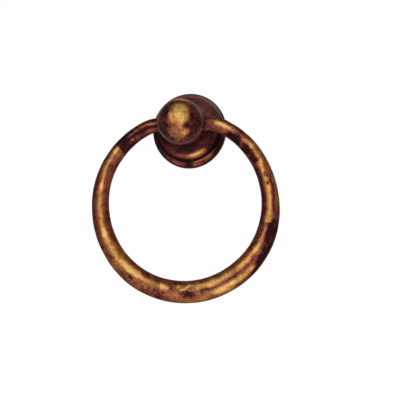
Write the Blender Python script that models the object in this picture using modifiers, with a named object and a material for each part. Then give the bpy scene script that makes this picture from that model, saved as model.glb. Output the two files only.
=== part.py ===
"""Ring door knocker: a round stepped rosette, a ball-headed post and a tapered
ring whose straight ends turn in a cross bore behind the ball, with the through
stud, nuts, washers and pins that fix it to a door.

Metres, +Z up. The door's face is the plane y = 0, the origin is the centre of
the rosette's back, -Y points out of the door and +X is to the right.
"""

import math

import bmesh
import bpy

MM = 0.001
GAP = 0.3 * MM  # clearance kept between touching pieces

# Rosette: a turned flange, a groove, a low domed boss, hollow at the back.
ROSETTE_R = 20.0 * MM
RIM_HEIGHT = 3.4 * MM
RIM_ROUND = 1.3 * MM
STEP_R = 16.5 * MM
GROOVE_WIDTH = 0.9 * MM
GROOVE_DEPTH = 0.5 * MM
BOSS_FOOT = 5.6 * MM
DOME_TOP = 9.4 * MM
RECESS_R = 13.0 * MM
RECESS_DEPTH = 5.0 * MM
SPIGOT_HOLE_R = 5.3 * MM

# Post: ball, neck and spigot turned in one piece.
BALL_R = 11.8 * MM
BALL_Y = 26.85 * MM  # ball centre, out from the door
NECK_R = 7.2 * MM
NECK_FOOT_R = 9.0 * MM
NECK_FOOT = DOME_TOP + GAP
SPIGOT_R = 5.0 * MM
SPIGOT_END = 0.9 * MM
TAP_R = 3.3 * MM
TAP_END = 12.5 * MM

# Ring: round inner edge, tapered stock, straight ends in the post's bore.
PIVOT_Y = 19.3 * MM
BORE_R = 4.1 * MM
RING_INNER_R = 40.7 * MM
RING_DROP = 41.45 * MM  # pivot axis down to the inner circle's centre
STOCK_MEAN = 9.4 * MM
STOCK_TAPER = 2.0 * MM
STOCK_SWELL = 0.2 * MM
STRAIGHT_HALF = 12.6 * MM
BEND_TOP_ANGLE = math.radians(27.0)
END_GAP = 1.2 * MM
RING_STEPS = 68

# Fixings: M6 through stud, M10 x 1 lock nut, washers, nut and two pins.
DOOR = 44.0 * MM
STUD_R = 3.0 * MM
STUD_FRONT = 12.0 * MM
STUD_BACK = 57.0 * MM
STUD_CHAMFER = 0.6 * MM
LOCK_NUT_FLATS = 14.0 * MM
LOCK_NUT_THICK = 3.4 * MM
WASHER_R = 6.0 * MM
WASHER_HOLE_R = 3.3 * MM
WASHER_THICK = 1.6 * MM
SPRING_R = 5.6 * MM
SPRING_THICK = 1.6 * MM
SPRING_SLOT = 1.0 * MM
NUT_FLATS = 10.0 * MM
NUT_THICK = 5.0 * MM
PIN_R = 1.25 * MM
PIN_X = 16.5 * MM
PIN_IN = 2.2 * MM
PIN_OUT = 3.6 * MM
PIN_POINT = 1.2 * MM


for old in list(bpy.data.objects):
    bpy.data.objects.remove(old, do_unlink=True)

PARTS = bpy.data.collections.new("ring_door_knocker")
CUTTERS = bpy.data.collections.new("cutters")
bpy.context.scene.collection.children.link(PARTS)
bpy.context.scene.collection.children.link(CUTTERS)


def material(name, colour, roughness, metallic):
    made = bpy.data.materials.new(name)
    made.use_nodes = True
    shader = made.node_tree.nodes["Principled BSDF"]
    shader.inputs["Base Color"].default_value = (*colour, 1.0)
    shader.inputs["Roughness"].default_value = roughness
    shader.inputs["Metallic"].default_value = metallic
    return made


def empty(name, location, rotation=(0.0, 0.0, 0.0)):
    made = bpy.data.objects.new(name, None)
    made.location = location
    made.rotation_euler = rotation
    made.empty_display_size = 0.01
    PARTS.objects.link(made)
    return made


# Turned pieces are drawn with their axis along local +Z, which this empty turns
# to point out of the door.
door_axis = empty("door_axis", (0.0, 0.0, 0.0), (math.pi / 2, 0.0, 0.0))
ring_pivot = empty("ring_pivot", (0.0, -PIVOT_Y, 0.0))


def place(obj, collection, parent=None, mat=None):
    collection.objects.link(obj)
    obj.parent = parent
    if mat is not None:
        obj.data.materials.append(mat)
    if collection is CUTTERS:
        obj.hide_render = True
        obj.display_type = "WIRE"
    return obj


def turned(name, profile, closed, steps, collection, mat=None, parent=door_axis):
    """A profile of (radius, height) points, run top to bottom down its outer side, turned about local Z."""
    shape = bmesh.new()
    verts = [shape.verts.new((r, 0.0, z)) for r, z in profile]
    for first, second in zip(verts, verts[1:]):
        shape.edges.new((first, second))
    if closed:
        shape.edges.new((verts[-1], verts[0]))
    mesh = bpy.data.meshes.new(name)
    shape.to_mesh(mesh)
    shape.free()
    obj = place(bpy.data.objects.new(name, mesh), collection, parent, mat)
    screw = obj.modifiers.new("turn", "SCREW")
    screw.axis = "Z"
    screw.angle = 2 * math.pi
    screw.steps = steps
    screw.render_steps = steps
    screw.use_merge_vertices = True
    screw.merge_threshold = 0.00001
    screw.use_smooth_shade = True
    return obj


def prism(name, radius, low, high, sides, collection, mat=None, parent=door_axis, turn=0.0):
    """A cylinder or hexagonal bar along local Z between two heights."""
    shape = bmesh.new()
    bmesh.ops.create_cone(
        shape,
        cap_ends=True,
        segments=sides,
        radius1=radius,
        radius2=radius,
        depth=high - low,
    )
    mesh = bpy.data.meshes.new(name)
    shape.to_mesh(mesh)
    shape.free()
    obj = place(bpy.data.objects.new(name, mesh), collection, parent, mat)
    obj.location = (0.0, 0.0, (low + high) / 2)
    obj.rotation_euler = (0.0, 0.0, turn)
    return obj


def boolean(obj, cutter, operation="DIFFERENCE"):
    cut = obj.modifiers.new(cutter.name, "BOOLEAN")
    cut.operation = operation
    cut.solver = "EXACT"
    cut.object = cutter
    return obj


def arc(cx, cz, radius, start, end, count):
    """Points of a circular arc in a profile, angles in degrees from the +radius direction."""
    return [
        (
            cx + radius * math.cos(math.radians(start + (end - start) * i / count)),
            cz + radius * math.sin(math.radians(start + (end - start) * i / count)),
        )
        for i in range(count + 1)
    ]


ANTIQUE_BRASS = (0.36, 0.20, 0.06)
ring_brass = material("ring_antique_brass", ANTIQUE_BRASS, 0.38, 1.0)
post_brass = material("post_antique_brass", (0.33, 0.19, 0.06), 0.34, 1.0)
rosette_brass = material("rosette_antique_brass", (0.22, 0.11, 0.04), 0.42, 1.0)


def steel(name, shade):
    return material(name, (shade, shade, shade * 0.97), 0.35, 1.0)


# ---- rosette -------------------------------------------------------------
def dome(count):
    """The boss's rise from its foot to the post: a quarter of an ellipse."""
    rise = DOME_TOP - BOSS_FOOT
    reach = STEP_R - NECK_FOOT_R
    return [
        (
            NECK_FOOT_R + reach * math.sin(math.pi / 2 * i / count),
            BOSS_FOOT + rise * math.cos(math.pi / 2 * i / count),
        )
        for i in range(count + 1)
    ]


rosette_profile = [(SPIGOT_HOLE_R, DOME_TOP)]
rosette_profile += dome(6)
rosette_profile += [
    (STEP_R, RIM_HEIGHT - GROOVE_DEPTH),
    (STEP_R + GROOVE_WIDTH, RIM_HEIGHT - GROOVE_DEPTH),
    (STEP_R + GROOVE_WIDTH, RIM_HEIGHT),
]
rosette_profile += arc(
    ROSETTE_R - RIM_ROUND, RIM_HEIGHT - RIM_ROUND, RIM_ROUND, 90.0, 0.0, 4
)
rosette_profile += [
    (ROSETTE_R, 0.5 * MM),
    (ROSETTE_R - 0.5 * MM, 0.0),
    (RECESS_R, 0.0),
    (RECESS_R, RECESS_DEPTH),
    (SPIGOT_HOLE_R, RECESS_DEPTH),
]
rosette = turned("rosette", rosette_profile, True, 44, PARTS, rosette_brass)

for side, label in ((1, "right"), (-1, "left")):
    hole = prism(
        "pin_hole_" + label, PIN_R + GAP, -1.0 * MM, PIN_IN + GAP, 16, CUTTERS
    )
    hole.location.x = side * PIN_X
    boolean(rosette, hole)

# ---- post with its ball --------------------------------------------------
neck_angle = math.degrees(math.acos(NECK_R / BALL_R))
post_profile = arc(0.0, BALL_Y, BALL_R, 90.0, -neck_angle, 15)
post_profile[0] = (0.0, BALL_Y + BALL_R)
post_profile += arc(
    NECK_FOOT_R,
    NECK_FOOT + (NECK_FOOT_R - NECK_R) + 0.8 * MM,
    NECK_FOOT_R - NECK_R,
    180.0,
    270.0,
    4,
)
post_profile += [
    (NECK_FOOT_R, NECK_FOOT),
    (SPIGOT_R, NECK_FOOT),
    (SPIGOT_R, SPIGOT_END + 0.5 * MM),
    (SPIGOT_R - 0.5 * MM, SPIGOT_END),
    (TAP_R, SPIGOT_END),
    (TAP_R, TAP_END),
    (0.0, TAP_END + TAP_R * 0.5),
]
ball_post = turned("ball_post", post_profile, False, 36, PARTS, post_brass)
bore = prism("cross_bore", BORE_R, -20.0 * MM, 20.0 * MM, 32, CUTTERS)
bore.location = (0.0, 0.0, PIVOT_Y)
bore.rotation_euler = (0.0, math.pi / 2, 0.0)
boolean(ball_post, bore)


# ---- ring ----------------------------------------------------------------
def stock_radius(angle):
    """Half the stock's thickness at an angle from the bottom of the ring."""
    return 0.5 * (
        STOCK_MEAN + STOCK_TAPER * math.cos(angle) + STOCK_SWELL * math.cos(2 * angle)
    )


def ring_point(angle):
    """The stock's centre line at an angle from the bottom, in the pivot's frame."""
    reach = RING_INNER_R + stock_radius(angle)
    return reach * math.sin(angle), -RING_DROP - reach * math.cos(angle)


def bend_point(t):
    """The bend from the round of the ring into its straight end, t from 0 to 1."""
    angle = math.pi - BEND_TOP_ANGLE
    x0, z0 = ring_point(angle)
    x1, z1 = ring_point(angle - 0.001)
    slope = (z0 - z1) / (x0 - x1)
    corner = x0 - z0 / slope
    a, b, c = (1 - t) ** 2, 2 * t * (1 - t), t**2
    return a * x0 + b * corner + c * STRAIGHT_HALF, a * z0


def ring_path():
    """(x, z, radius) from the left straight end round the bottom to the right one."""
    limit = math.pi - BEND_TOP_ANGLE
    thin = stock_radius(math.pi)
    half = []
    for i in range(RING_STEPS // 2 + 1):
        angle = limit * i / (RING_STEPS // 2)
        half.append((*ring_point(angle), stock_radius(angle)))
    edge = half[-1][2]
    for i in range(1, 7):
        t = i / 6
        half.append((*bend_point(t), edge + (thin - edge) * t))
    half.append((STRAIGHT_HALF / 2, 0.0, thin))
    half.append((END_GAP / 2, 0.0, thin))
    left = [(-x, z, r) for x, z, r in reversed(half[1:])]
    return left + half


path = ring_path()
widest = max(r for _, _, r in path)
wire = bpy.data.curves.new("knocker_ring", "CURVE")
wire.dimensions = "3D"
wire.bevel_depth = widest
wire.bevel_resolution = 5
wire.use_fill_caps = True
spline = wire.splines.new("POLY")
spline.points.add(len(path) - 1)
spline.use_smooth = True
for point, (x, z, r) in zip(spline.points, path):
    point.co = (x, 0.0, z, 1.0)
    point.radius = r / widest
knocker_ring = place(
    bpy.data.objects.new("knocker_ring", wire), PARTS, ring_pivot, ring_brass
)


# ---- fixings -------------------------------------------------------------
def hex_nut(name, flats, low, high, hole_r, shade):
    """A hexagon nut with both faces chamfered round its corners."""
    corner = flats / math.sqrt(3.0)
    nut = prism(name, corner, low, high, 6, PARTS, steel(name + "_steel", shade))
    drop = (corner - flats / 2) * 0.6
    lens = [
        (0.0, high + 1.0 * MM),
        (flats / 2 * 0.94 - 1.0 * MM / 0.6, high + 1.0 * MM),
        (flats / 2 * 0.94, high),
        (corner + 0.2 * MM, high - drop),
        (corner + 0.2 * MM, low + drop),
        (flats / 2 * 0.94, low),
        (flats / 2 * 0.94 - 1.0 * MM / 0.6, low - 1.0 * MM),
        (0.0, low - 1.0 * MM),
    ]
    boolean(nut, turned(name + "_chamfer", lens, False, 36, CUTTERS), "INTERSECT")
    boolean(
        nut,
        prism(name + "_bore", hole_r, low - 2.0 * MM, high + 2.0 * MM, 28, CUTTERS),
    )
    return nut


lock_nut_top = RECESS_DEPTH - GAP
hex_nut(
    "post_lock_nut",
    LOCK_NUT_FLATS,
    lock_nut_top - LOCK_NUT_THICK,
    lock_nut_top,
    SPIGOT_R + GAP,
    0.52,
)

turned(
    "fixing_stud",
    [
        (0.0, STUD_FRONT),
        (STUD_R - STUD_CHAMFER, STUD_FRONT),
        (STUD_R, STUD_FRONT - STUD_CHAMFER),
        (STUD_R, STUD_CHAMFER - STUD_BACK),
        (STUD_R - STUD_CHAMFER, -STUD_BACK),
        (0.0, -STUD_BACK),
    ],
    False,
    24,
    PARTS,
    steel("stud_steel", 0.55),
)

for side, label in ((1, "right"), (-1, "left")):
    pin = turned(
        "anti_turn_pin_" + label,
        [
            (0.0, PIN_IN),
            (PIN_R, PIN_IN),
            (PIN_R, PIN_POINT - PIN_OUT),
            (0.25 * MM, -PIN_OUT),
            (0.0, -PIN_OUT),
        ],
        False,
        16,
        PARTS,
        steel("pin_steel_" + label, 0.50),
    )
    pin.location.x = side * PIN_X

washer_front = -DOOR
washer_back = washer_front - WASHER_THICK
turned(
    "door_washer",
    [
        (WASHER_HOLE_R, washer_front),
        (WASHER_R - 0.2 * MM, washer_front),
        (WASHER_R, washer_front - 0.2 * MM),
        (WASHER_R, washer_back + 0.2 * MM),
        (WASHER_R - 0.2 * MM, washer_back),
        (WASHER_HOLE_R, washer_back),
    ],
    True,
    40,
    PARTS,
    steel("washer_steel", 0.58),
)

spring_front = washer_back - GAP
spring_back = spring_front - SPRING_THICK
spring_washer = turned(
    "spring_washer",
    [
        (WASHER_HOLE_R, spring_front),
        (SPRING_R, spring_front),
        (SPRING_R, spring_back),
        (WASHER_HOLE_R, spring_back),
    ],
    True,
    36,
    PARTS,
    steel("spring_washer_steel", 0.48),
)
slot_mesh = bmesh.new()
bmesh.ops.create_cube(slot_mesh, size=1.0)
bmesh.ops.scale(slot_mesh, vec=(6.0 * MM, SPRING_SLOT, 8.0 * MM), verts=slot_mesh.verts)
slot_data = bpy.data.meshes.new("spring_slot")
slot_mesh.to_mesh(slot_data)
slot_mesh.free()
slot = place(bpy.data.objects.new("spring_slot", slot_data), CUTTERS, door_axis)
slot.location = (4.5 * MM, 0.0, (spring_front + spring_back) / 2)
slot.rotation_euler = (math.radians(25.0), 0.0, 0.0)
boolean(spring_washer, slot)

nut_front = spring_back - GAP
hex_nut(
    "fixing_nut",
    NUT_FLATS,
    nut_front - NUT_THICK,
    nut_front,
    STUD_R + GAP,
    0.56,
)
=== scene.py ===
import math

import bmesh
import bpy
import numpy as np
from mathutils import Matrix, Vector, noise


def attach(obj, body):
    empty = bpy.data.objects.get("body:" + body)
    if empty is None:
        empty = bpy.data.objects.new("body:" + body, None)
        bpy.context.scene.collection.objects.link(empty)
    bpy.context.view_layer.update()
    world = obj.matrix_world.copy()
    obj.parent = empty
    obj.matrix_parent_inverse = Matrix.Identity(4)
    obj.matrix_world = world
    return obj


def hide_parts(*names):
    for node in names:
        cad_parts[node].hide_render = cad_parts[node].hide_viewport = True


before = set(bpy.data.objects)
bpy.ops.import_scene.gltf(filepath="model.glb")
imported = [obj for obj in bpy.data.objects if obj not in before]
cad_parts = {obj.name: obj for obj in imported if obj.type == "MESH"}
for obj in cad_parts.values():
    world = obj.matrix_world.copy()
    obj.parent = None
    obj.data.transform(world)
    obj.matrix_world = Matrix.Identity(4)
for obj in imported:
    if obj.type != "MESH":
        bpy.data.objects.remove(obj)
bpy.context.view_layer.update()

MM = 0.001
scene = bpy.context.scene
scene.view_settings.view_transform = "Standard"
scene.view_settings.look = "None"
scene.view_settings.exposure = 0.0
scene.view_settings.gamma = 1.0

# The same driving sizes as the solids, in millimetres.
PIVOT_Y = 19.3
RING_INNER_R = 40.7
RING_DROP = 41.45
STRAIGHT_HALF = 12.6
BEND_TOP = math.radians(27.0)
END_GAP = 1.2
BALL_R, BALL_Y = 11.8, 26.85
NECK_R, NECK_FOOT_R, NECK_FOOT = 7.2, 9.0, 9.7
BORE_R = 4.1


# ---------------------------------------------------------------- small tools
def smooth(low, high, x):
    t = min(1.0, max(0.0, (x - low) / (high - low)))
    return t * t * (3 - 2 * t)


def rough(p, scale, octaves=3, seed=0.0):
    """Fractal noise about zero at a point in millimetres; scale is the size of its lumps."""
    q = Vector((p[0] / scale + seed, p[1] / scale - seed * 0.7, p[2] / scale + seed * 1.3))
    return noise.fractal(q, 1.0, 2.0, octaves)


def finish_mesh(name, verts, faces, body, node):
    """Makes the piece that stands for a node: points in millimetres, riding on its body."""
    mesh = bpy.data.meshes.new(name)
    mesh.from_pydata([tuple(c * MM for c in v) for v in verts], [], faces)
    mesh.validate()
    made = bmesh.new()
    made.from_mesh(mesh)
    bmesh.ops.recalc_face_normals(made, faces=made.faces)
    made.to_mesh(mesh)
    made.free()
    mesh.shade_smooth()
    obj = bpy.data.objects.new(name, mesh)
    scene.collection.objects.link(obj)
    if body:
        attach(obj, body)
        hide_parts(node)
    return obj


def grid_faces(rows, cols, wrap=True):
    faces = []
    for i in range(rows - 1):
        for j in range(cols if wrap else cols - 1):
            k = (j + 1) % cols
            faces.append((i * cols + j, i * cols + k, (i + 1) * cols + k, (i + 1) * cols + j))
    return faces


def turned(profile, cols):
    """Points and faces of an open profile (radius, outward) turned about the door axis; ends on the axis close it."""
    verts, faces, rows = [], [], []
    for r, h in profile:
        if r < 1e-6:
            rows.append([len(verts)])
            verts.append((0.0, -h, 0.0))
        else:
            rows.append(list(range(len(verts), len(verts) + cols)))
            for j in range(cols):
                a = 2 * math.pi * j / cols
                verts.append((r * math.cos(a), -h, r * math.sin(a)))
    for one, two in zip(rows, rows[1:]):
        for j in range(cols):
            k = (j + 1) % cols
            if len(one) == 1:
                faces.append((one[0], two[j], two[k]))
            elif len(two) == 1:
                faces.append((one[j], two[0], one[k]))
            else:
                faces.append((one[j], two[j], two[k], one[k]))
    return verts, faces


def rounded(points, radius_of, steps=4):
    """A profile with its corners rounded: points with a radius of 0 stay sharp."""
    out = []
    for i, p in enumerate(points):
        rad = radius_of[i]
        if rad <= 0 or i in (0, len(points) - 1):
            out.append(p)
            continue
        a, b = Vector(points[i - 1]), Vector(points[i + 1])
        c = Vector(p)
        u, v = (a - c), (b - c)
        lu, lv = u.length, v.length
        d = min(rad, lu * 0.45, lv * 0.45)
        s, e = c + u / lu * d, c + v / lv * d
        for k in range(steps + 1):
            t = k / steps
            q = s * (1 - t) ** 2 + c * 2 * t * (1 - t) + e * t**2
            out.append((q.x, q.y))
    return out


def dense(profile, step):
    """Adds points so that no stretch of a profile is longer than step."""
    out = [profile[0]]
    for p, q in zip(profile, profile[1:]):
        n = max(1, int(math.ceil(math.hypot(q[0] - p[0], q[1] - p[1]) / step)))
        for k in range(1, n + 1):
            out.append((p[0] + (q[0] - p[0]) * k / n, p[1] + (q[1] - p[1]) * k / n))
    return out


def cut(obj, cutter_verts, cutter_faces):
    """Takes a solid away from a piece and applies the result."""
    cutter = finish_mesh("cutter", cutter_verts, cutter_faces, None, None)
    mod = obj.modifiers.new("cut", "BOOLEAN")
    mod.operation = "DIFFERENCE"
    mod.solver = "EXACT"
    mod.object = cutter
    bpy.context.view_layer.update()
    graph = bpy.context.evaluated_depsgraph_get()
    result = bpy.data.meshes.new_from_object(obj.evaluated_get(graph))
    obj.modifiers.remove(mod)
    old = obj.data
    obj.data = result
    bpy.data.meshes.remove(old)
    bpy.data.objects.remove(cutter, do_unlink=True)


def cylinder(centre, axis, radius, half, cols):
    """A capped cylinder's points and faces in millimetres, along x or y."""
    verts = []
    for end in (-half, half):
        for j in range(cols):
            a = 2 * math.pi * j / cols
            c, s = radius * math.cos(a), radius * math.sin(a)
            p = (end, c, s) if axis == "x" else (c, end, s)
            verts.append(tuple(p[k] + centre[k] for k in range(3)))
    faces = grid_faces(2, cols)
    faces.append(tuple(range(cols)))
    faces.append(tuple(range(cols, 2 * cols)))
    return verts, faces


def paint(obj, values, name="wear_and_painted_light"):
    layer = obj.data.attributes.new(name, "FLOAT", "POINT")
    layer.data.foreach_set("value", np.asarray(values, np.float32))


def points_mm(obj):
    flat = np.empty(len(obj.data.vertices) * 3, np.float32)
    obj.data.vertices.foreach_get("co", flat)
    return flat.reshape(-1, 3) / MM


# ---------------------------------------------------------------- materials
def nodes_of(name):
    mat = bpy.data.materials.new(name)
    mat.use_nodes = True
    tree = mat.node_tree
    tree.nodes.clear()
    out = tree.nodes.new("ShaderNodeOutputMaterial")
    shader = tree.nodes.new("ShaderNodeBsdfPrincipled")
    tree.links.new(shader.outputs["BSDF"], out.inputs["Surface"])
    return mat, tree, shader


def node(tree, kind, **settings):
    made = tree.nodes.new(kind)
    for key, value in settings.items():
        if key in made.inputs:
            made.inputs[key].default_value = value
        else:
            setattr(made, key, value)
    return made


def math_node(tree, operation, a, b=None, clamp=False):
    made = tree.nodes.new("ShaderNodeMath")
    made.operation = operation
    made.use_clamp = clamp
    for socket, value in zip(made.inputs, (a, b)):
        if value is None:
            continue
        if isinstance(value, (int, float)):
            socket.default_value = value
        else:
            tree.links.new(value, socket)
    return made.outputs[0]


def ramp(tree, fac, stops):
    made = tree.nodes.new("ShaderNodeValToRGB")
    made.color_ramp.interpolation = "EASE"
    elements = made.color_ramp.elements
    while len(elements) < len(stops):
        elements.new(0.5)
    for element, (place, colour) in zip(elements, stops):
        element.position = place
        element.color = (*colour, 1.0) if len(colour) == 3 else colour
    tree.links.new(fac, made.inputs["Fac"])
    return made.outputs["Color"]


def noise_tex(tree, coords, size_mm, detail=4.0, roughness=0.55, distortion=0.0):
    made = node(tree, "ShaderNodeTexNoise")
    made.inputs["Scale"].default_value = 1.0 / (size_mm * MM)
    made.inputs["Detail"].default_value = detail
    made.inputs["Roughness"].default_value = roughness
    made.inputs["Distortion"].default_value = distortion
    tree.links.new(coords, made.inputs["Vector"])
    return made.outputs["Fac"]


def antique_brass(name, grain_mm=2.4, mottle=1.0, coat=0.03, coat_rough=0.06, coat_ior=1.4, pit_mm=1.5, pit_share=0.56, pit_dark=0.35, rim=(0.86, 0.52, 0.40), sheen=0.0):
    """Antique brass: a plum-brown patina rubbed back to gold where its painted layer says; that layer holds real wear
    together with painted highlights and painted shade.
    """
    mat, tree, shader = nodes_of(name)
    coords = node(tree, "ShaderNodeTexCoord").outputs["Object"]
    wear_and_painted_light = node(tree, "ShaderNodeAttribute", attribute_name="wear_and_painted_light").outputs["Fac"]
    blotch = noise_tex(tree, coords, grain_mm * 2.0, 5.0, 0.6, 0.5)
    speck = noise_tex(tree, coords, grain_mm * 0.42, 4.0, 0.65, 0.3)
    fine = noise_tex(tree, coords, 0.30, 3.0, 0.6)
    tone = noise_tex(tree, coords, 9.0, 3.0, 0.5)
    cells = node(tree, "ShaderNodeTexVoronoi", feature="F1")
    cells.inputs["Scale"].default_value = 1.0 / (pit_mm * MM)
    tree.links.new(coords, cells.inputs["Vector"])
    pit = math_node(tree, "SUBTRACT", 1.0, math_node(tree, "MULTIPLY", cells.outputs["Distance"], 3.2, True), True)
    chance = math_node(tree, "GREATER_THAN", noise_tex(tree, coords, pit_mm * 2.1, 2.0), pit_share)
    pit = math_node(tree, "MULTIPLY", pit, chance)
    grain = node(tree, "ShaderNodeAttribute", attribute_name="grain").outputs["Fac"]
    level = math_node(tree, "SUBTRACT", wear_and_painted_light, math_node(tree, "MULTIPLY", math_node(tree, "MULTIPLY", pit, pit_dark), grain))
    for texture, strength in ((blotch, 1.0), (speck, 1.1), (fine, 0.35)):
        spread = math_node(tree, "MULTIPLY", math_node(tree, "SUBTRACT", texture, 0.5), strength * mottle)
        level = math_node(tree, "ADD", level, math_node(tree, "MULTIPLY", spread, grain))
    level = math_node(tree, "ADD", level, 0.0, True)
    colour = ramp(
        tree,
        level,
        [
            (0.0, (0.020, 0.0042, 0.0056)),
            (0.06, (0.036, 0.0062, 0.0068)),
            (0.14, (0.074, 0.0145, 0.0145)),
            (0.30, (0.180, 0.0480, 0.0340)),
            (0.46, (0.265, 0.0920, 0.0410)),
            (0.66, (0.40, 0.187, 0.057)),
            (0.86, (0.555, 0.304, 0.092)),
            (1.0, (0.74, 0.445, 0.158)),
        ],
    )
    warm = node(tree, "ShaderNodeMix", data_type="RGBA", blend_type="MULTIPLY")
    warm.inputs["Factor"].default_value = 0.8
    tree.links.new(colour, warm.inputs["A"])
    tree.links.new(ramp(tree, tone, [(0.3, (1.0, 0.86, 0.80)), (0.7, (0.95, 1.0, 0.95))]), warm.inputs["B"])
    # Grey-plum mix: it dulls the backs of the pieces, and on the rosette's upper right rim it is a painted reflection.
    dull_and_painted_reflection = node(tree, "ShaderNodeMix", data_type="RGBA", blend_type="MIX")
    tree.links.new(node(tree, "ShaderNodeAttribute", attribute_name="dull_and_painted_reflection").outputs["Fac"], dull_and_painted_reflection.inputs["Factor"])
    tree.links.new(warm.outputs["Result"], dull_and_painted_reflection.inputs["A"])
    dull_and_painted_reflection.inputs["B"].default_value = (0.115, 0.084, 0.088, 1.0)
    tree.links.new(dull_and_painted_reflection.outputs["Result"], shader.inputs["Base Color"])
    metal = ramp(tree, level, [(0.0, (0.72,) * 3), (0.35, (0.88,) * 3), (0.7, (1.0,) * 3)])
    tree.links.new(metal, shader.inputs["Metallic"])
    gloss = math_node(tree, "ADD", math_node(tree, "MULTIPLY", speck, 0.24), 0.40)
    tree.links.new(gloss, shader.inputs["Roughness"])
    shader.inputs["Specular IOR Level"].default_value = 0.14
    shader.inputs["Specular Tint"].default_value = (*rim, 1.0)
    shader.inputs["Coat Weight"].default_value = coat
    shader.inputs["Coat Roughness"].default_value = coat_rough
    shader.inputs["Coat IOR"].default_value = coat_ior
    shader.inputs["Sheen Weight"].default_value = sheen
    shader.inputs["Sheen Roughness"].default_value = 0.20
    shader.inputs["Sheen Tint"].default_value = (1.0, 0.68, 0.66, 1.0)
    # Casting grain and the small pits stand out as relief too.
    height = math_node(tree, "SUBTRACT", math_node(tree, "MULTIPLY", speck, 0.55), math_node(tree, "MULTIPLY", pit, 0.5))
    height = math_node(tree, "ADD", height, math_node(tree, "MULTIPLY", fine, 0.18))
    bump = node(tree, "ShaderNodeBump")
    bump.inputs["Strength"].default_value = 0.6
    bump.inputs["Distance"].default_value = 0.00025
    tree.links.new(height, bump.inputs["Height"])
    tree.links.new(bump.outputs["Normal"], shader.inputs["Normal"])
    return mat


def plated_steel(name, tint, streak_axis):
    """Zinc-plated steel: pale grey with a faint yellow cast, fine drawn lines and dull spots."""
    mat, tree, shader = nodes_of(name)
    coords = node(tree, "ShaderNodeTexCoord").outputs["Object"]
    stretch = node(tree, "ShaderNodeMapping")
    scale = [1.0, 1.0, 1.0]
    scale[streak_axis] = 0.12
    stretch.inputs["Scale"].default_value = scale
    tree.links.new(coords, stretch.inputs["Vector"])
    lines = noise_tex(tree, stretch.outputs["Vector"], 0.35, 4.0, 0.6)
    spots = noise_tex(tree, coords, 2.6, 4.0, 0.6, 0.5)
    level = math_node(tree, "ADD", math_node(tree, "MULTIPLY", lines, 0.45), math_node(tree, "MULTIPLY", spots, 0.65), clamp=True)
    colour = ramp(
        tree,
        level,
        [
            (0.2, tuple(c * 0.55 for c in tint)),
            (0.5, tint),
            (0.8, tuple(min(1.0, c * 1.22) for c in tint)),
        ],
    )
    tree.links.new(colour, shader.inputs["Base Color"])
    shader.inputs["Metallic"].default_value = 1.0
    gloss = math_node(tree, "ADD", math_node(tree, "MULTIPLY", spots, 0.25), 0.22)
    tree.links.new(gloss, shader.inputs["Roughness"])
    bump = node(tree, "ShaderNodeBump")
    bump.inputs["Strength"].default_value = 0.35
    bump.inputs["Distance"].default_value = 0.00006
    tree.links.new(lines, bump.inputs["Height"])
    tree.links.new(bump.outputs["Normal"], shader.inputs["Normal"])
    return mat


# ---------------------------------------------------------------- the ring
def stock_radius(angle):
    return 0.5 * (9.4 + 2.0 * math.cos(angle) + 0.2 * math.cos(2 * angle))


def ring_point(angle):
    reach = RING_INNER_R + stock_radius(angle)
    return reach * math.sin(angle), -RING_DROP - reach * math.cos(angle)


def bend_point(t):
    angle = math.pi - BEND_TOP
    x0, z0 = ring_point(angle)
    x1, z1 = ring_point(angle - 0.001)
    corner = x0 - z0 / ((z0 - z1) / (x0 - x1))
    a, b, c = (1 - t) ** 2, 2 * t * (1 - t), t**2
    return a * x0 + b * corner + c * STRAIGHT_HALF, a * z0


def half_path():
    limit = math.pi - BEND_TOP
    thin = stock_radius(math.pi)
    half = []
    steps = 250
    for i in range(steps + 1):
        angle = limit * i / steps
        half.append((*ring_point(angle), stock_radius(angle)))
    edge = half[-1][2]
    for i in range(1, 13):
        half.append((*bend_point(i / 12), edge + (thin - edge) * i / 12))
    for i in range(1, 17):
        x = STRAIGHT_HALF + (END_GAP / 2 - STRAIGHT_HALF) * i / 16
        half.append((x, 0.0, thin))
    return half
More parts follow.
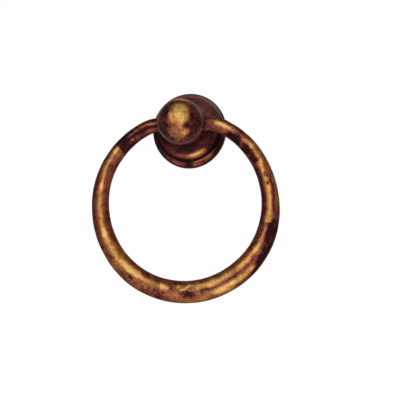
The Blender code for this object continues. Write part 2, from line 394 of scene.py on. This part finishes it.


# Strokes on the ring: rubbed patina, and in places painted highlights and painted shade. Each runs from one place to
# another (degrees from the bottom, + to the right; and across the stock, 0 in front, + outside) and has a half-width
# across the stock, a strength, and how softly it ends in degrees.
RING_RUBBED_AND_HIGHLIT = (
    # The left arm, out from the ball.
    ((-164, 0.10), (-151, 0.26), 0.24, 0.44, 2.0),
    ((-150, 0.26), (-139, 0.20), 0.16, 0.20, 2.0),
    ((-166, -0.72), (-140, -0.66), 0.20, 0.10, 3.0),
    # The left side: one narrow stripe, wider and brighter as it comes down.
    ((-131.5, 0.12), (-126, 0.10), 0.22, 0.60, 0.7),
    ((-128, 0.08), (-100, -0.18), 0.17, 0.46, 2.0),
    ((-131, 0.38), (-108, 0.22), 0.20, 0.16, 2.0),
    ((-131, -0.36), (-121, -0.40), 0.28, 0.13, 1.5),
    ((-104, -0.16), (-66, -0.20), 0.31, 0.41, 4.0),
    ((-72, -0.12), (-52, -0.16), 0.32, 0.36, 4.0),
    ((-63, -0.58), (-44, -0.62), 0.30, 0.17, 4.0),
    ((-68, 0.24), (-52, 0.20), 0.30, 0.13, 4.0),
    ((-49, -0.24), (-30, -0.34), 0.33, 0.62, 4.0),
    ((-42, -0.32), (-31, -0.36), 0.26, 0.46, 3.0),
    ((-33, -0.32), (-16, -0.28), 0.24, 0.36, 4.0),
    ((-62, 0.34), (-16, 0.30), 0.30, 0.05, 5.0),
    ((-16, -0.24), (-10, -0.18), 0.27, 0.66, 1.6),
    ((-6, -0.40), (6, -0.42), 0.20, 0.26, 2.0),
    ((-8, 0.40), (-1, 0.42), 0.26, 0.16, 1.6),
    ((-4, 0.86), (14, 0.84), 0.22, 0.22, 3.0),
    # The right side below: two stripes of rubbed gold that are also painted highlights of two lights, with a brown line
    # of painted shade between them.
    ((8, -0.34), (19, -0.36), 0.27, 0.55, 2.5),
    ((18, -0.34), (34.5, -0.32), 0.28, 0.58, 3.0),
    ((35, -0.26), (58, -0.20), 0.26, 0.50, 2.5),
    ((57, -0.12), (72, 0.00), 0.20, 0.42, 2.5),
    ((11, 0.48), (20, 0.56), 0.26, 0.22, 4.0),
    ((19, 0.58), (30, 0.64), 0.30, 0.62, 4.0),
    ((29, 0.54), (46, 0.62), 0.18, 0.58, 2.0),
    # The right side above.
    ((74.6, 0.02), (116, 0.10), 0.33, 0.44, 0.7),
    ((80, 0.06), (112, 0.10), 0.20, 0.10, 3.0),
    ((86, 0.80), (132, 0.76), 0.20, 0.19, 4.0),
    ((113, 0.26), (133, 0.44), 0.24, 0.48, 2.5),
    ((128, 0.24), (136, 0.30), 0.26, 0.26, 1.5),
    ((143, 0.22), (159, 0.10), 0.34, 0.50, 2.5),
    ((146, 0.26), (154, 0.26), 0.22, 0.20, 2.0),
)
# Darker strokes: dark patina, and in places painted shade.
RING_DARK_AND_SHADED = (
    ((-170, -0.24), (-137, -0.22), 0.13, 0.50, 2.0),
    ((-140, -0.16), (-132, -0.22), 0.30, 0.40, 1.2),
    ((-150, 0.56), (-132, 0.58), 0.30, 0.18, 3.0),
    ((-132, 0.84), (-106, 0.84), 0.22, 0.16, 4.0),
    ((-106, 0.72), (-76, 0.80), 0.24, 0.11, 6.0),
    ((-36.5, 0.26), (-34.5, 0.30), 0.16, 0.30, 1.2),
    ((-28, 0.40), (-24, 0.42), 0.16, 0.22, 1.5),
    ((-20, 0.30), (-14, 0.34), 0.20, 0.24, 1.5),
    ((-19, 0.78), (-14, 0.74), 0.14, 0.26, 1.5),
    ((0.5, 0.24), (6.5, 0.26), 0.28, 0.34, 1.2),
    # The brown line between the two lower right stripes: painted shade between their painted highlights.
    ((6, 0.12), (13, 0.10), 0.14, 0.08, 2.0),
    ((12, 0.10), (52, 0.20), 0.11, 0.21, 3.0),
    ((33, -0.44), (36, -0.40), 0.22, 0.10, 1.5),
    ((40, 0.90), (54, 0.92), 0.14, 0.22, 5.0),
    ((47, 0.84), (58, 0.74), 0.28, 0.24, 3.5),
    ((57, 0.72), (76, 0.62), 0.38, 0.23, 4.0),
    ((63, 0.38), (74.6, 0.34), 0.26, 0.24, 0.8),
    ((68, 0.22), (74.2, 0.24), 0.22, 0.26, 1.0),
    ((56, 0.96), (84, 0.94), 0.24, 0.13, 5.0),
    ((52, -0.80), (80, -0.80), 0.30, 0.10, 5.0),
    ((80, -0.62), (116, -0.66), 0.28, 0.20, 5.0),
    ((74.5, 0.46), (106, 0.54), 0.12, 0.20, 2.0),
    ((116, -0.40), (131, -0.34), 0.42, 0.33, 1.8),
    ((133, -0.56), (146, -0.46), 0.36, 0.31, 1.8),
    ((135, 0.02), (141, 0.06), 0.20, 0.20, 1.5),
    # Painted shadow of the ball on the right arm beside it.
    ((163, 0.0), (178, 0.0), 0.9, 0.16, 3.0),
)
# Small pits in the gold.
RING_PITTED = (
    ((104.6, 0.28), (107.4, 0.26), 0.08, 0.92, 0.5),
    ((107.4, 0.10), (108.4, 0.20), 0.10, 0.92, 0.5),
    ((105.2, 0.04), (107.0, 0.04), 0.08, 0.70, 0.5),
    ((100.0, 0.10), (101.4, 0.10), 0.12, 1.10, 0.5),
    ((78.6, 0.16), (79.4, 0.16), 0.08, 0.30, 0.5),
    ((-36.6, 0.24), (-35.0, 0.28), 0.13, 0.34, 0.8),
    ((-41.0, 0.52), (-40.2, 0.54), 0.09, 0.26, 0.6),
    ((-26.4, 0.16), (-25.4, 0.18), 0.08, 0.24, 0.6),
)
# Bright scratches across the bottom of the ring.
RING_SCRATCHED = (
    ((-2.2, -0.14), (1.8, -0.20), 0.10, 0.62, 0.6),
    ((1.4, -0.28), (5.0, -0.60), 0.10, 0.66, 0.6),
    ((-4.2, -0.34), (-2.2, -0.50), 0.11, 0.58, 0.6),
    ((5.4, -0.38), (7.4, -0.54), 0.10, 0.40, 0.6),
    ((3.0, -0.08), (6.4, -0.02), 0.08, 0.36, 0.6),
    ((-51.8, -0.06), (-50.0, -0.08), 0.10, 0.44, 0.6),
    ((-48.8, -0.14), (-47.4, -0.16), 0.09, 0.36, 0.6),
    ((-53.4, -0.18), (-52.0, -0.20), 0.09, 0.34, 0.6),
)


def ring_wear_and_light(phi, v, p):
    """How far the patina is rubbed off the ring, with painted highlights and painted shade in places: phi in degrees
    from the bottom, v in degrees round the stock, p the point.
    """
    t = math.sin(math.radians(v))
    if math.cos(math.radians(v)) < 0:
        t = math.copysign(2.0 - abs(t), t)
    # Ragged edges: the strokes wander a little and break up along the ring.
    side = t + 0.09 * rough(p, 4.5, 3, 11.0)
    along = phi + 2.2 * rough(p, 4.0, 3, 17.0)

    def stroke(one, ragged=1.0):
        (p0, q0), (p1, q1), wide, strength, soft = one
        far, over = phi + (along - phi) * ragged, t + (side - t) * ragged
        if far < p0 - 3 * soft or far > p1 + 3 * soft:
            return 0.0
        mid = q0 + (q1 - q0) * min(1.0, max(0.0, (far - p0) / (p1 - p0)))
        ends = smooth(p0 - soft, p0 + soft, far) * (1 - smooth(p1 - soft, p1 + soft, far))
        return strength * ends * math.exp(-((abs(over - mid) / wide) ** 2.6))

    w = 0.29 - 0.06 * smooth(0.72, 1.0, abs(t)) + 0.20 * smooth(1.0, 1.6, abs(t))
    w += 0.06 * smooth(75, 45, abs(phi)) - 0.15 * smooth(-129, -133, phi)
    w += sum(stroke(one) for one in RING_RUBBED_AND_HIGHLIT)
    w -= sum(stroke(one) for one in RING_DARK_AND_SHADED)
    w += sum(stroke(one, 0.3) for one in RING_SCRATCHED)
    w -= sum(stroke(one, 0.2) for one in RING_PITTED)
    streak = noise.fractal(Vector((phi * 0.11, side * 5.5, 4.2)), 1.0, 2.0, 3)
    return w + 0.10 * streak + 0.10 * rough(p, 2.6, 3, 23.0)


def ring_grain(phi, t):
    """How speckled the finish is: smooth where hands slide along the sides, rough below and on the left arm."""
    g = 0.95
    g -= 0.45 * smooth(-66, -78, phi) * (1 - smooth(-124, -132, phi))
    g -= 0.45 * smooth(74, 80, phi) * (1 - smooth(112, 120, phi))
    g -= 0.25 * smooth(8, 16, phi) * (1 - smooth(50, 56, phi))
    g -= 0.15 * smooth(52, 60, phi) * (1 - smooth(73, 76, phi))
    g -= 0.12 * smooth(-54, -48, phi) * (1 - smooth(-32, -26, phi)) * (1 - smooth(-0.1, 0.2, t))
    g += 0.20 * smooth(-66, -56, phi) * (1 - smooth(-14, -6, phi)) * smooth(0.0, 0.4, t)
    return g


def make_ring():
    half = half_path()
    path = [(-x, z, r) for x, z, r in reversed(half[1:])] + half
    cols = 72
    verts, wear_and_painted_light, grain, dull_and_painted_reflection = [], [], [], []
    count = len(path)
    for i, (x, z, r) in enumerate(path):
        x0, z0, _ = path[max(0, i - 1)]
        x1, z1, _ = path[min(count - 1, i + 1)]
        tx, tz = x1 - x0, z1 - z0
        length = math.hypot(tx, tz)
        tx, tz = tx / length, tz / length
        nx, nz = tz, -tx  # away from the ring's middle
        phi = math.degrees(math.atan2(x, -(z + RING_DROP)))
        free = smooth(STRAIGHT_HALF + 1.0, STRAIGHT_HALF + 6.0, abs(x)) if z > -8 else 1.0
        for j in range(cols):
            v = 360.0 * j / cols
            c, s = math.cos(math.radians(v)), math.sin(math.radians(v))
            p = (x + r * s * nx, -PIVOT_Y - r * c, z + r * s * nz)
            lean = 1.25 * smooth(-26.0, -72.0, z) + 0.45 * math.exp(-(((phi + 92) / 26) ** 2))
            swell = 0.30 * rough(p, 16.0, 2, 3.1) + 0.09 * rough(p, 5.0, 3, 7.7) + 0.035 * rough(p, 1.6, 2, 1.9)
            grow = r * (1 + free * 0.035 * math.sin(math.radians(phi)) * smooth(-0.2, 0.6, math.cos(math.radians(phi))))
            grow += free * (swell * 0.55)
            verts.append((x + lean + grow * s * nx, -PIVOT_Y - grow * c, z + grow * s * nz))
            wear_and_painted_light.append(ring_wear_and_light(phi, v if v <= 180 else v - 360, p))
            back = smooth(0.05, -0.5, c)
            grain.append(ring_grain(phi, s) * (1 - 0.3 * back))
            dull_and_painted_reflection.append(0.16 * back)
    faces = grid_faces(count, cols)
    for row, end in ((0, path[0]), (count - 1, path[-1])):
        verts.append((end[0], -PIVOT_Y, end[1]))
        wear_and_painted_light.append(0.2)
        grain.append(1.0)
        dull_and_painted_reflection.append(0.3)
        centre = len(verts) - 1
        for j in range(cols):
            a, b = row * cols + j, row * cols + (j + 1) % cols
            faces.append((centre, b, a) if row == 0 else (centre, a, b))
    obj = finish_mesh("ring_body", verts, faces, "swinging_ring", "knocker_ring")
    paint(obj, wear_and_painted_light)
    paint(obj, grain, "grain")
    paint(obj, dull_and_painted_reflection, "dull_and_painted_reflection")
    obj.data.materials.append(antique_brass("ring_brass_finish"))
    return obj


# ---------------------------------------------------------------- the post
def make_post():
    neck_angle = math.acos(NECK_R / BALL_R)
    profile = []
    steps = 84
    for i in range(steps + 1):
        a = math.pi / 2 - (math.pi / 2 + neck_angle) * i / steps
        profile.append((BALL_R * math.cos(a), BALL_Y + BALL_R * math.sin(a)))
    profile[0] = (0.0, BALL_Y + BALL_R)
    flare = NECK_FOOT_R - NECK_R
    for i in range(1, 9):
        a = math.pi + math.pi / 2 * i / 8
        profile.append((NECK_FOOT_R + flare * math.cos(a), NECK_FOOT + flare + 0.8 + flare * math.sin(a)))
    tail = [
        (NECK_FOOT_R, NECK_FOOT + 0.8),
        (NECK_FOOT_R, NECK_FOOT),
        (5.0, NECK_FOOT),
        (5.0, 0.9),
        (3.3, 0.9),
        (3.3, 12.5),
        (0.0, 14.0),
    ]
    profile += rounded(tail, [0, 0.25, 0, 0.4, 0.2, 0, 0], 3)[1:]
    profile = dense(profile, 0.7)
    verts, faces = turned(profile, 112)
    obj = finish_mesh("post_body", verts, faces, "mounted_base", "ball_post")
    cut(obj, *cylinder((0.0, -PIVOT_Y, 0.0), "x", BORE_R, 20.0, 56))
    obj.data.shade_smooth()
    obj.data.set_sharp_from_angle(angle=math.radians(38))
    where = points_mm(obj)
    moved, wear_and_painted_light = [], []
    for p in where:
        d = Vector((p[0], p[1] + BALL_Y, p[2]))
        ball = smooth(BALL_R - 1.2, BALL_R - 0.4, d.length) * (1 - smooth(-16.5, -14.0, p[1]))
        n = d.normalized() if d.length > 1e-6 else Vector((0, -1, 0))
        lump = 0.10 * rough(p, 7.0, 3, 2.2) + 0.03 * rough(p, 1.8, 2, 5.5)
        moved.append(tuple((p[k] + n[k] * lump * ball) * MM for k in range(3)))
        wear_and_painted_light.append(post_wear_and_light(p, n, ball))
    obj.data.vertices.foreach_set("co", np.asarray(moved, np.float32).ravel())
    obj.data.update()
    paint(obj, wear_and_painted_light)
    paint(obj, [1.0 - 0.35 * smooth(-BALL_Y - 2.0, -BALL_Y + 3.0, p[1]) for p in where], "grain")
    paint(obj, [0.16 * smooth(-BALL_Y - 1.0, -BALL_Y + 5.0, p[1]) for p in where], "dull_and_painted_reflection")
    obj.data.materials.clear()
    obj.data.materials.append(antique_brass("post_brass_finish", grain_mm=1.3, mottle=1.0, coat=0.26, coat_ior=1.12, pit_mm=1.15, pit_share=0.42, pit_dark=0.80, rim=(1.0, 0.72, 0.60), sheen=0.32))
    return obj


def post_wear_and_light(p, n, ball):
    """Rubbed most on the front of the ball, up and to the left of its middle, with painted highlights on its top and
    low on its right and painted shade on the neck.
    """
    # The neck is painted dark: painted shade behind and below the ball.
    if ball < 0.5:
        return -0.12

    def spot(x, z, wide, sharp=2.0):
        y = -math.sqrt(max(0.0, 1 - x * x - z * z))
        d = math.sqrt((n[0] - x) ** 2 + (n[1] - y) ** 2 + (n[2] - z) ** 2)
        return math.exp(-((d / wide) ** sharp))

    w = 0.09
    w += 0.56 * spot(0.16, 0.21, 0.50, 8)
    w += 0.34 * spot(0.20, -0.10, 0.42, 6)
    w += 0.16 * spot(0.14, 0.46, 0.28, 3)
    w += 0.22 * spot(-0.20, -0.14, 0.36, 4)
    w += 0.40 * spot(0.06, -0.62, 0.42, 5)
    w = min(w, 0.78)
    w += 0.14 * spot(0.26, 0.10, 0.26, 3)
    # Painted highlight: a pale spot low on the ball's right.
    w += 0.52 * spot(0.40, -0.60, 0.17, 3)
    w -= 0.42 * spot(0.40, -0.36, 0.17, 3)
    w -= 0.30 * spot(0.02, -0.38, 0.16, 3)
    w -= 0.20 * spot(-0.14, -0.26, 0.10)
    w -= 0.05 * spot(0.72, 0.20, 0.34)
    w += 0.22 * spot(0.08, 0.48, 0.26, 3)
    w += 0.24 * spot(0.47, 0.46, 0.20, 3)
    w += 0.22 * spot(0.42, 0.74, 0.26, 3)
    w += 0.16 * spot(0.13, -0.90, 0.34, 3)
    # Painted highlight: the ball's top painted brighter towards the front.
    w += 0.60 * smooth(0.74, 0.94, n[2] + 0.10 * rough(p, 3.6, 3, 41.0)) * (1 - 0.75 * smooth(-0.45, 0.30, n[1]))
    w += 0.26 * smooth(0.0, 0.5, n[1])
    return w + 0.10 * rough(p, 3.0, 3, 31.0)


# ---------------------------------------------------------------- the rosette
def make_rosette():
    dome = []
    for i in range(19):
        a = math.pi / 2 * i / 18
        dome.append((9.0 + 7.5 * math.sin(a), 5.6 + 3.8 * math.cos(a)))
    outer = [(16.5, 5.6), (16.5, 2.9), (17.4, 2.9), (17.4, 3.4), (20.0, 3.4), (20.0, 0.0), (13.0, 0.0), (13.0, 5.0), (5.3, 5.0), (5.3, 9.4)]
    body = rounded(outer, [0, 0.25, 0.2, 0.35, 1.35, 0.5, 0.3, 0.6, 0.2, 0], 5)
    profile = [(5.3, 9.4)] + dome + body[1:]
    profile = dense(profile, 0.55)
    cols = 132
    verts, faces = turned(profile[:-1], cols)
    last = len(profile) - 2
    for j in range(cols):
        k = (j + 1) % cols
        faces.append((last * cols + j, j, k, last * cols + k))
    obj = finish_mesh("rosette_body", verts, faces, "mounted_base", "rosette")
    for side in (1, -1):
        cut(obj, *cylinder((side * 16.5, 0.0, 0.0), "y", 1.55, 2.5, 28))
    obj.data.shade_smooth()
    obj.data.set_sharp_from_angle(angle=math.radians(35))
    where = points_mm(obj)
    moved, wear_and_painted_light, dull_and_painted_reflection = [], [], []
    for p in where:
        r = math.hypot(p[0], p[2])
        turn = math.degrees(math.atan2(p[2], p[0])) - 44.0
        # The back is dulled; the grey on the rim's upper right is a painted reflection.
        dull_and_painted_reflection.append(0.20 * smooth(0.9, 0.2, -p[1]) + smooth(0.4, 1.2, -p[1]) * (0.62 * math.exp(-((abs(turn) / 27.0) ** 3)) * smooth(17.6, 18.6, r) + 0.26 * math.exp(-((abs(turn - 16.0) / 55.0) ** 4))))
        show = smooth(0.9, 2.0, -p[1]) * smooth(13.5, 14.5, r + max(0.0, -p[1] - 5.2) * 3)
        lump = 0.09 * rough(p, 6.0, 3, 4.4) + 0.03 * rough(p, 1.7, 2, 8.8)
        # The flange is a little wider at the bottom than elsewhere.
        sag = 0.7 * smooth(17.2, 19.6, r) * max(0.0, -p[2] / max(r, 1e-6)) ** 2
        moved.append(tuple(c * MM for c in (p[0], p[1] - lump * show, p[2] - sag)))
        wear_and_painted_light.append(rosette_wear_and_light(p, r))
    obj.data.vertices.foreach_set("co", np.asarray(moved, np.float32).ravel())
    obj.data.update()
    paint(obj, wear_and_painted_light)
    paint(obj, [0.6 + 0.4 * smooth(0.2, 1.0, -p[1]) for p in where], "grain")
    paint(obj, dull_and_painted_reflection, "dull_and_painted_reflection")
    obj.data.materials.clear()
    obj.data.materials.append(antique_brass("rosette_brass_finish", grain_mm=2.2, mottle=0.5, coat=0.16, coat_rough=0.24, coat_ior=1.22))
    return obj


# Patina rubbed back on the rosette, with painted highlights, painted shade and a painted reflection added in places.
def rosette_wear_and_light(p, r):
    out = -p[1]
    if out < 0.4:
        return 0.36
    angle = math.degrees(math.atan2(p[2], p[0]))  # 0 right, -90 down
    below = 0.5 - 0.5 * math.sin(math.radians(angle))

    def patch(at, wide, radius, tall, power=2.0):
        turn = (angle - at + 180.0) % 360.0 - 180.0
        return math.exp(-((abs(turn) / wide) ** power)) * math.exp(-(((r - radius) / tall) ** 2))

    # Darker on the lower half, most on the dome below the ball: painted shade.
    w = 0.24 - 0.10 * below - 0.12 * below * smooth(15.4, 13.4, r)
    lip = smooth(4.6, 6.0, out)
    # Painted highlights: the crescent low on the right of the dome, and a thin bright line round its foot.
    w += 0.78 * patch(-68, 18, 15.0, 1.1, 4.0) * lip
    w += 0.26 * patch(-102, 24, 15.2, 1.2, 3.0) * lip
    w += 0.30 * patch(-70, 28, 16.4, 0.30, 4.0)
    # Painted shade: a dark line in the groove low down.
    w -= 0.46 * patch(-82, 60, 16.9, 0.45, 4.0)
    # Painted highlight: a thin bright line along the rim's inner edge.
    w += 0.80 * patch(-60, 22, 17.65, 0.34, 4.0)
    w += 0.26 * patch(-54, 12, 18.6, 0.7, 3.0)
    w += 0.22 * patch(-76, 10, 18.9, 0.8, 3.0)
    w += 0.16 * patch(-108, 14, 18.7, 1.0, 3.0)
    w -= 0.26 * patch(-89, 6, 18.6, 1.2, 3.0)
    # Painted shade on the right side.
    w -= 0.12 * patch(-10, 60, 17.5, 3.0, 4.0)
    # Painted reflection: brighter at the upper right.
    w += 0.09 * patch(48, 34, 16.5, 3.0, 4.0)
    # Painted shade on the left, below the ring's left arm.
    w -= 0.10 * patch(-170, 40, 18.5, 3.0, 4.0)
    w -= 0.12 * patch(-172, 22, 15.0, 3.5, 4.0)
    w -= 0.10 * patch(-35, 22, 19.0, 1.6, 4.0)
    w -= 0.10 * patch(-100, 70, 19.6, 0.5, 4.0)
    return w + 0.06 * rough(p, 3.0, 3, 41.0)


# ---------------------------------------------------------------- the fixings
def make_stud():
    """The M6 stud with its thread cut in: a helix of one millimetre pitch."""
    front, back, major, minor, pitch = 12.0, -57.0, 2.98, 2.42, 1.0
    cols, step = 32, 0.125
    rows = int(round((front - back) / step))
    verts = [(0.0, -front, 0.0)]
    for i in range(rows + 1):
        h = front - step * i
        end = min(front - h, h - back)
        for j in range(cols):
            phase = (h / pitch + j / cols) % 1.0
            ridge = 1 - abs(2 * phase - 1)
            ridge = min(1.0, max(0.0, (ridge - 0.12) / 0.72))
            r = minor + (major - minor) * ridge
            r = min(r, 2.35 + end * 1.05)
            a = 2 * math.pi * j / cols
            verts.append((r * math.cos(a), -h, r * math.sin(a)))
    verts.append((0.0, -back, 0.0))
    faces = [tuple(k + 1 for k in f) for f in grid_faces(rows + 1, cols)]
    for j in range(cols):
        k = (j + 1) % cols
        faces.append((0, 1 + k, 1 + j))
        faces.append((len(verts) - 1, 1 + rows * cols + j, 1 + rows * cols + k))
    obj = finish_mesh("stud_threaded", verts, faces, "mounted_base", "fixing_stud")
    obj.data.set_sharp_from_angle(angle=math.radians(50))
    obj.data.materials.append(plated_steel("stud_zinc", (0.56, 0.55, 0.50), 1))
    return obj


make_ring()
make_post()
make_rosette()
make_stud()

for name, mat in (
    ("post_lock_nut", plated_steel("lock_nut_brass_finish", (0.56, 0.40, 0.16), 0)),
    ("anti_turn_pin_left", plated_steel("pin_left_steel", (0.48, 0.47, 0.45), 1)),
    ("anti_turn_pin_right", plated_steel("pin_right_steel", (0.48, 0.47, 0.45), 1)),
    ("door_washer", plated_steel("washer_zinc", (0.58, 0.57, 0.52), 0)),
    ("spring_washer", plated_steel("spring_washer_zinc", (0.50, 0.49, 0.46), 2)),
    ("fixing_nut", plated_steel("nut_zinc", (0.57, 0.56, 0.50), 0)),
):
    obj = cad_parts[name]
    obj.data.materials.clear()
    obj.data.materials.append(mat)
    soft = obj.modifiers.new("soft_edges", "BEVEL")
    soft.width = 0.00012
    soft.segments = 2
    soft.limit_method = "ANGLE"
    soft.angle_limit = math.radians(28)

# ---------------------------------------------------------------- stage
floor_mesh = bpy.data.meshes.new("floor")
floor_mesh.from_pydata([(-6.0, -6.0, -0.80), (6.0, -6.0, -0.80), (6.0, 6.0, -0.80), (-6.0, 6.0, -0.80)], [], [(0, 1, 2, 3)])
floor = bpy.data.objects.new("floor", floor_mesh)
scene.collection.objects.link(floor)
floor_mat, floor_tree, floor_shader = nodes_of("floor_pale")
floor_shader.inputs["Base Color"].default_value = (0.88, 0.88, 0.87, 1.0)
floor_shader.inputs["Emission Color"].default_value = (1.0, 1.0, 0.99, 1.0)
floor_shader.inputs["Emission Strength"].default_value = 0.22
floor_shader.inputs["Roughness"].default_value = 0.8
floor_mesh.materials.append(floor_mat)

world = bpy.data.worlds.new("studio")
scene.world = world
world.use_nodes = True
tree = world.node_tree
tree.nodes.clear()
out = tree.nodes.new("ShaderNodeOutputWorld")
back = tree.nodes.new("ShaderNodeBackground")
seen = tree.nodes.new("ShaderNodeBackground")
mix = tree.nodes.new("ShaderNodeMixShader")
path = tree.nodes.new("ShaderNodeLightPath")
seen.inputs["Color"].default_value = (1.0, 1.0, 1.0, 1.0)
seen.inputs["Strength"].default_value = 1.0
where = tree.nodes.new("ShaderNodeTexCoord")
split = tree.nodes.new("ShaderNodeSeparateXYZ")
tree.links.new(where.outputs["Generated"], split.inputs["Vector"])
shade = ramp(
    tree,
    math_node(tree, "ADD", math_node(tree, "MULTIPLY", split.outputs["Y"], 0.5), 0.5),
    [(0.0, (0.26, 0.26, 0.26)), (0.4, (0.34, 0.34, 0.34)), (0.7, (0.50, 0.50, 0.50)), (1.0, (1.0, 1.0, 1.0))],
)
tree.links.new(shade, back.inputs["Color"])
back.inputs["Strength"].default_value = 0.9
tree.links.new(path.outputs["Is Camera Ray"], mix.inputs["Fac"])
tree.links.new(back.outputs["Background"], mix.inputs[1])
tree.links.new(seen.outputs["Background"], mix.inputs[2])
tree.links.new(mix.outputs["Shader"], out.inputs["Surface"])


def direction(azimuth, elevation):
    a, e = math.radians(azimuth), math.radians(elevation)
    return Vector((math.sin(a) * math.cos(e), -math.cos(a) * math.cos(e), math.sin(e)))


def softbox(name, azimuth, elevation, distance, size, power):
    light = bpy.data.lights.new(name, "AREA")
    light.shape = "SQUARE"
    light.size = size
    light.energy = power
    obj = bpy.data.objects.new(name, light)
    scene.collection.objects.link(obj)
    aim = Vector((0.0, -0.02, -0.035))
    way = direction(azimuth, elevation)
    obj.location = aim + way * distance
    obj.rotation_mode = "QUATERNION"
    obj.rotation_quaternion = way.to_track_quat("Z", "Y")
    obj.visible_camera = False
    return obj


softbox("key", -2.0, 10.0, 0.85, 1.20, 5.8)
softbox("low_fill", 0.0, -40.0, 0.75, 0.60, 1.5)
softbox("side_fill", 68.0, -6.0, 0.90, 0.80, 1.6)

camera = bpy.data.cameras.new("camera")
camera.sensor_width = 36.0
camera.lens = 1146.0 / 400.0 * 36.0
camera.shift_x = (200.0 - 184.48) / 400.0
camera.shift_y = (200.74 - 200.0) / 400.0
camera.clip_start = 0.01
camera.clip_end = 20.0
eye = bpy.data.objects.new("camera", camera)
scene.collection.objects.link(eye)
view_way = direction(11.48, -7.39)
eye.location = Vector((0.0, -0.0155, -0.040)) + view_way * 0.6
eye.rotation_mode = "QUATERNION"
eye.rotation_quaternion = view_way.to_track_quat("Z", "Y")
scene.camera = eye

bpy.context.view_layer.update()
